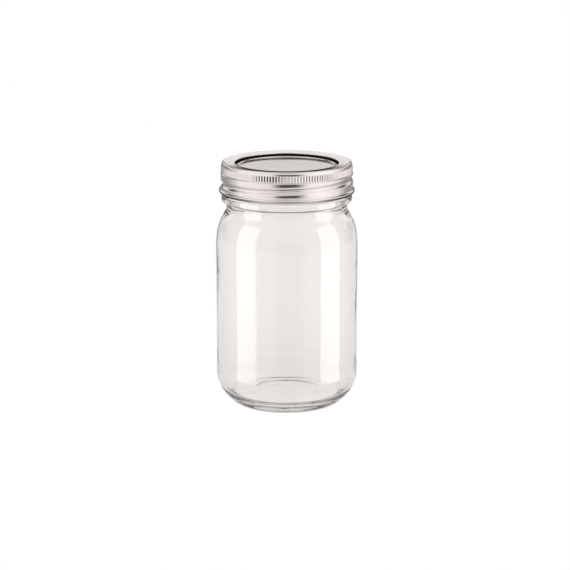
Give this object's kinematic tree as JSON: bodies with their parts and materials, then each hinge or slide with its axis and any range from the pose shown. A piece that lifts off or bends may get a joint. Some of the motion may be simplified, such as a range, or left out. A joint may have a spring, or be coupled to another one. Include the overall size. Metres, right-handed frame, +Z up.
{
  "type": "glass jar",
  "caption": "Clear smooth-sided glass canning jar with a flat metal sealing disc held down by a ribbed, open-topped metal screw band.",
  "frame": {"origin": "middle of the bearing ring that the jar stands on", "axes": "+Z up along the jar's axis, -Y towards the front of the picture, +X to its right"},
  "size_m": [0.0794, 0.0794, 0.1365],
  "materials": {
    "clear_glass": "clear pressed flint glass, polished, slightly wavy inside",
    "tinplate_disc": "satin tinplate, warm grey",
    "sealing_compound": "matt grey plastisol",
    "tinplate_band": "bright tinplate with faint rolling lines"
  },
  "bodies": {
    "jar": {"glass_jar": "clear_glass"},
    "lid": {"lid_disc": "tinplate_disc", "sealing_gasket": "sealing_compound"},
    "band": {"screw_band": "tinplate_band"}
  },
  "joints": [
    {"name": "closure_lift", "type": "slide", "parent": "jar", "child": "lid", "axis": [0, 0, 1], "range_m": [0, 0.0191]},
    {"name": "band_turn", "type": "hinge", "parent": "lid", "child": "band", "pos_m": [0, 0, 0.1275], "axis": [0, 0, 1], "range_deg": [0, 1080]}
  ],
  "couplings": [
    {"joint": "closure_lift", "follows": "band_turn", "m_per_rad": 0.0010106}
  ]
}
